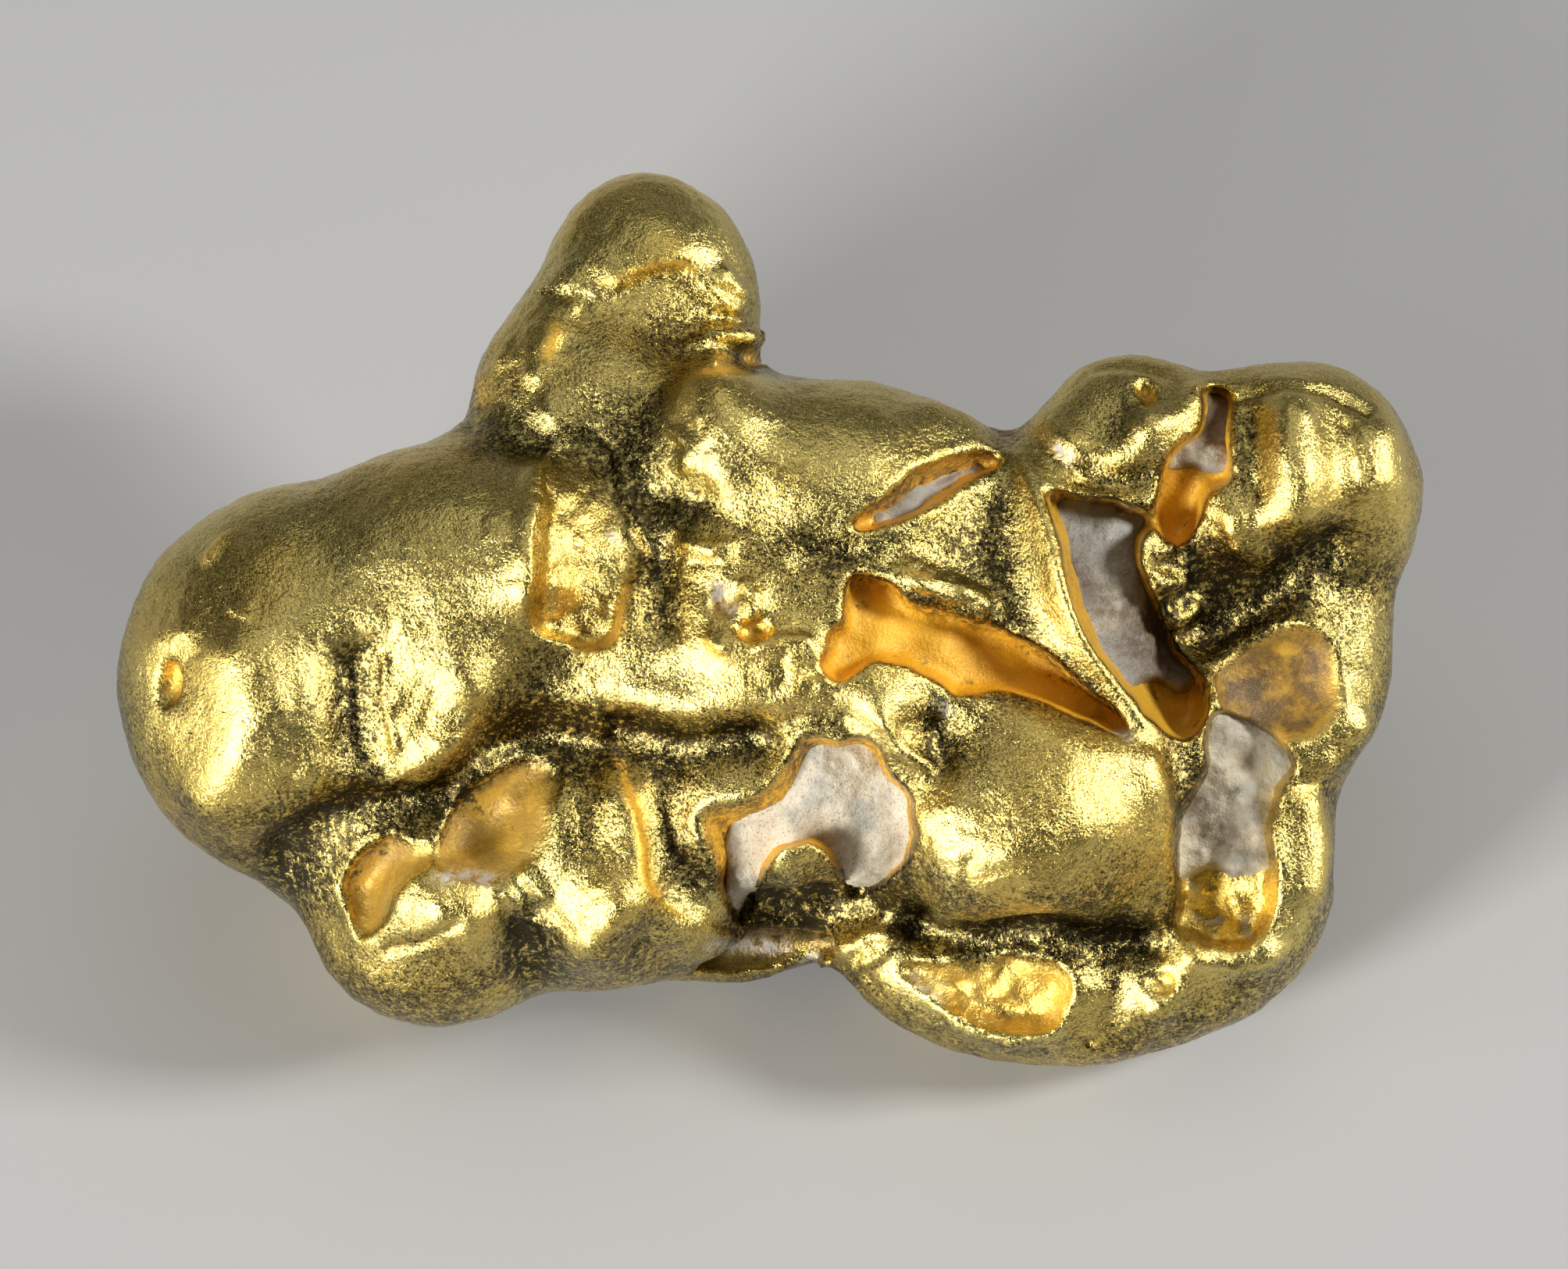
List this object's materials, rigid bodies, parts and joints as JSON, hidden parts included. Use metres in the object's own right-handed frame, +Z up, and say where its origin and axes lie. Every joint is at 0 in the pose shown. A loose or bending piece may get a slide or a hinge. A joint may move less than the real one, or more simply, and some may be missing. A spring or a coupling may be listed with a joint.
{
  "type": "gold nugget",
  "caption": "Water-worn lump of native gold with a blunt horn on one side, deep hollows and slits, and grains of milky quartz held in them.",
  "frame": {"origin": "centre of the bounding box's bottom, on the plane of the worn facet that the nugget lies on", "axes": "+Z up, +X along the nugget's length towards its knobbly end, -Y towards the side from which the hollows are seen, +Y the way the horn points"},
  "size_m": [0.0168, 0.0104, 0.0071],
  "materials": {
    "native_gold": "water-worn, satin",
    "milky_quartz": "broken, waxy"
  },
  "bodies": {
    "root": {"gold": "native_gold", "quartz_centre": "milky_quartz", "quartz_slot": "milky_quartz", "quartz_slit": "milky_quartz", "quartz_trough": "milky_quartz", "quartz_notch": "milky_quartz"}
  },
  "joints": []
}
